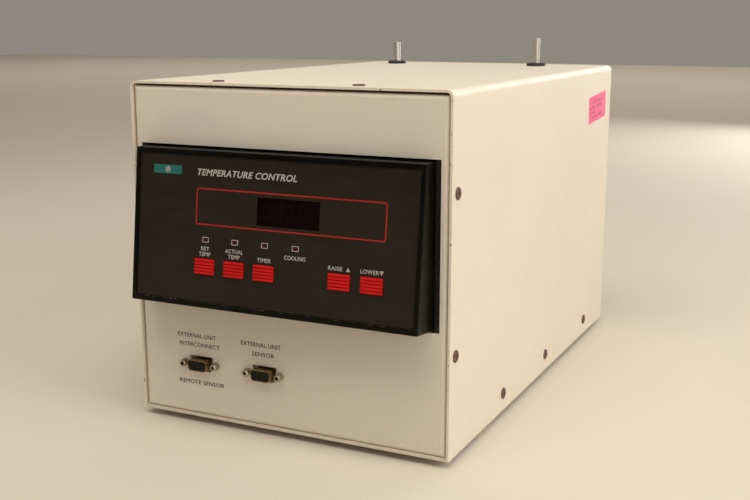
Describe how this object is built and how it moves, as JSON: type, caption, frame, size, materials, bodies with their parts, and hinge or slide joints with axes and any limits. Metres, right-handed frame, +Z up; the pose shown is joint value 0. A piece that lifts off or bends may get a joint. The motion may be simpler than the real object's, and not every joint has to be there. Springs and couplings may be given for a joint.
{
  "type": "bench chiller",
  "caption": "Box-shaped bench chiller: wrap-around cover, tilted bezel with display and keys, sensor sockets, rear fan and coolant stubs on top.",
  "frame": {"origin": "middle of the footprint, on the surface that the rubber feet stand on", "axes": "+Z up, +Y from front to rear, +X to the right seen from the front"},
  "size_m": [0.237, 0.4092, 0.2616],
  "materials": {
    "cover_paint": "fine orange-peel powder coat",
    "panel_paint": "fine leather-grain powder coat",
    "base_paint": "satin powder coat",
    "bezel_black": "satin moulded",
    "overlay_brown": "matt polyester film",
    "window_red": "polished dark red filter",
    "led_red": "polished",
    "key_red": "satin moulded",
    "board_green": "solder mask",
    "component_black": "moulded",
    "yellow_zinc": "yellow zinc plated",
    "screw_dark": "dark phosphate",
    "zinc": "zinc plated",
    "stainless": "drawn tube",
    "rubber_black": "moulded",
    "foam_black": "closed-cell foam",
    "label_pink": "paper label",
    "copper": "drawn copper tube",
    "fin_aluminium": "sheet",
    "compressor_black": "gloss enamel",
    "core_steel": "laminated",
    "coil_amber": "varnished winding"
  },
  "bodies": {
    "case": {"base_chassis": "base_paint", "bezel_gasket": "foam_black", "bezel_housing": "bezel_black", "bezel_nuts": "zinc", "board_standoffs": "zinc", "capillary_tube": "copper", "compressor_bolts": "zinc", "compressor_mounts": "rubber_black", "compressor_shell": "compressor_black", "condenser_fins": "fin_aluminium", "condenser_tube": "copper", "connector_insert_left": "component_black", "connector_insert_right": "component_black", "connector_shell_left": "yellow_zinc", "connector_shell_right": "yellow_zinc", "control_board": "board_green", "coolant_tube_left": "stainless", "coolant_tube_right": "stainless", "cover_screws": "screw_dark", "discharge_line": "copper", "display_board": "board_green", "display_board_screws": "zinc", "display_module": "component_black", "display_window": "window_red", "exchanger_bracket": "zinc", "exchanger_core": "stainless", "exchanger_insulation": "foam_black", "fan_frame": "component_black", "fan_guard": "zinc", "fan_screws": "screw_dark", "fan_shroud": "zinc", "feet": "rubber_black", "filter_drier": "copper", "foot_screws": "zinc", "front_panel": "panel_paint", "fuse_holder": "component_black", "indicator_leds": "led_red", "inspection_label": "label_pink", "jackscrews": "yellow_zinc", "liquid_line": "copper", "overlay_panel": "overlay_brown", "panel_screws": "zinc", "power_inlet": "component_black", "power_relay": "component_black", "rear_panel": "panel_paint", "suction_line": "copper", "switch_frame": "component_black", "tact_switches": "component_black", "terminal_cover": "component_black", "transformer_coil": "coil_amber", "transformer_core": "core_steel", "tube_grommets": "rubber_black", "wrap_cover": "cover_paint"},
    "key_actual_temp_cap": {"key_actual_temp": "key_red"},
    "key_lower_cap": {"key_lower": "key_red"},
    "key_raise_cap": {"key_raise": "key_red"},
    "key_set_temp_cap": {"key_set_temp": "key_red"},
    "key_timer_cap": {"key_timer": "key_red"},
    "fan": {"fan_rotor": "component_black"},
    "rocker": {"switch_rocker": "component_black"}
  },
  "joints": [
    {"name": "key_actual_temp_press", "type": "slide", "parent": "case", "child": "key_actual_temp_cap", "axis": [0, 0.9923, -0.1239], "range_m": [0, 0.0008], "stiffness_N_per_m": 1200, "springref_m": -0.001},
    {"name": "key_lower_press", "type": "slide", "parent": "case", "child": "key_lower_cap", "axis": [0, 0.9923, -0.1239], "range_m": [0, 0.0008], "stiffness_N_per_m": 1200, "springref_m": -0.001},
    {"name": "key_raise_press", "type": "slide", "parent": "case", "child": "key_raise_cap", "axis": [0, 0.9923, -0.1239], "range_m": [0, 0.0008], "stiffness_N_per_m": 1200, "springref_m": -0.001},
    {"name": "key_set_temp_press", "type": "slide", "parent": "case", "child": "key_set_temp_cap", "axis": [0, 0.9923, -0.1239], "range_m": [0, 0.0008], "stiffness_N_per_m": 1200, "springref_m": -0.001},
    {"name": "key_timer_press", "type": "slide", "parent": "case", "child": "key_timer_cap", "axis": [0, 0.9923, -0.1239], "range_m": [0, 0.0008], "stiffness_N_per_m": 1200, "springref_m": -0.001},
    {"name": "fan_spin", "type": "hinge", "parent": "case", "child": "fan", "pos_m": [-0.045, 0.18875, 0.077], "axis": [0, 1, 0], "continuous": true},
    {"name": "switch_rock", "type": "hinge", "parent": "case", "child": "rocker", "pos_m": [0.07, 0.19975, 0.079], "axis": [1, 0, 0], "range_deg": [0, 18]}
  ]
}
